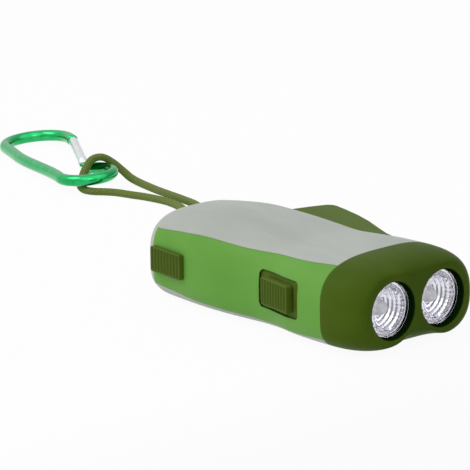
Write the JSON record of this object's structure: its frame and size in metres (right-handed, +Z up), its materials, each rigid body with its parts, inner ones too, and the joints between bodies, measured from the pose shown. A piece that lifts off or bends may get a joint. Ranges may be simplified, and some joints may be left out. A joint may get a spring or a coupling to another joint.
{
  "type": "dynamo flashlight",
  "caption": "Squeeze-lever dynamo flashlight with a figure-eight front, side sliders, a geared generator inside, and a woven strap to a carabiner.",
  "frame": {"origin": "on the flat resting face, half way along the body and on its middle line", "axes": "+X towards the lenses, +Y towards the lever, +Z up from the resting face"},
  "size_m": [0.2898, 0.125, 0.0296],
  "materials": {
    "grey_shell": "fine matte moulding",
    "green_panel": "satin moulding",
    "olive_shell": "satin moulding",
    "olive_lever": "satin moulding",
    "lens_clear": "clear, moulded facets",
    "reflector": "bright vacuum metallised",
    "lamp_clear": "clear epoxy",
    "board": "green solder mask",
    "steel": "plain",
    "core_steel": "laminated",
    "magnet": "sintered ferrite",
    "copper": "enamelled copper",
    "spring_brass": "plain strip",
    "bridge_metal": "stamped plate",
    "black_plastic": "moulded",
    "white_nylon": "moulded nylon",
    "wire_red": "insulated",
    "wire_black": "insulated",
    "strap": "woven flat cord",
    "anodised_green": "bright anodised",
    "gate_metal": "polished"
  },
  "bodies": {
    "root": {"top_cover": "grey_shell", "bottom_cover": "grey_shell", "side_panel_right": "green_panel", "side_panel_left": "green_panel", "head_shell": "olive_shell", "switch_bezel": "olive_shell", "lens_right": "lens_clear", "lens_left": "lens_clear", "reflector_right": "reflector", "reflector_left": "reflector", "led_right": "lamp_clear", "led_left": "lamp_clear", "led_board": "board", "main_board": "board", "slide_switch_case": "steel", "lever_pin": "steel", "lever_spring": "steel", "gear_axle_1": "steel", "gear_axle_2": "steel", "gear_axle_3": "steel", "stator_core": "core_steel", "coil_bobbin": "black_plastic", "coil_winding": "copper", "gear_bridge": "bridge_metal", "bridge_screw_1": "steel", "bridge_screw_2": "steel", "bridge_screw_3": "steel", "coin_cell": "steel", "cell_clip": "spring_brass", "lamp_wire_red": "wire_red", "lamp_wire_black": "wire_black", "coil_wire_1": "copper", "coil_wire_2": "copper", "housing_screw_1": "steel", "housing_screw_2": "steel", "housing_screw_3": "steel", "housing_screw_4": "steel", "strap_pin": "steel", "strap": "strap", "carabiner_body": "anodised_green", "gate_pin": "steel"},
    "lever": {"lever": "olive_lever"},
    "first_gear": {"drive_wheel": "white_nylon", "ratchet_pinion": "black_plastic"},
    "second_gear": {"second_gear": "white_nylon"},
    "rotor": {"rotor_hub": "black_plastic", "ring_magnet": "magnet"},
    "power_switch": {"switch_knob": "olive_shell", "slide_switch_actuator": "black_plastic"},
    "lever_lock": {"lock_knob": "olive_shell", "lock_hook": "black_plastic"},
    "carabiner_gate": {"carabiner_gate": "gate_metal"}
  },
  "joints": [
    {"name": "lever_squeeze", "type": "hinge", "parent": "root", "child": "lever", "pos_m": [0.0267, 0.0175, 0], "axis": [0, 0, 1], "range_deg": [0, 22], "stiffness_Nm_per_rad": 0.35, "springref_deg": -45.84},
    {"name": "rotor_spin", "type": "hinge", "parent": "root", "child": "rotor", "pos_m": [-0.01333, -0.00092, 0], "axis": [0, 0, 1], "range_deg": [0, 4421.2]},
    {"name": "first_gear_spin", "type": "hinge", "parent": "root", "child": "first_gear", "pos_m": [-0.03139, 0.0084, 0], "axis": [0, 0, 1], "range_deg": [0, 345.5]},
    {"name": "second_gear_spin", "type": "hinge", "parent": "root", "child": "second_gear", "pos_m": [-0.02152, 0.00481, 0], "axis": [0, 0, 1], "range_deg": [-1105.4, 0]},
    {"name": "power_switch_slide", "type": "slide", "parent": "root", "child": "power_switch", "axis": [0.9824, -0.1868, 0], "range_m": [0, 0.002]},
    {"name": "lever_lock_slide", "type": "slide", "parent": "root", "child": "lever_lock", "axis": [0.9916, -0.1294, 0], "range_m": [0, 0.0027]},
    {"name": "carabiner_gate_swing", "type": "hinge", "parent": "root", "child": "carabiner_gate", "pos_m": [-0.17755, 0.06646, 0.00478], "axis": [-0.0594, -0.049, 0.997], "range_deg": [0, 22], "stiffness_Nm_per_rad": 0.02, "springref_deg": -22.92}
  ],
  "couplings": [
    {"joint": "first_gear_spin", "follows": "lever_squeeze", "ratio": 15.7},
    {"joint": "second_gear_spin", "follows": "lever_squeeze", "ratio": -50.24},
    {"joint": "rotor_spin", "follows": "lever_squeeze", "ratio": 200.96}
  ]
}
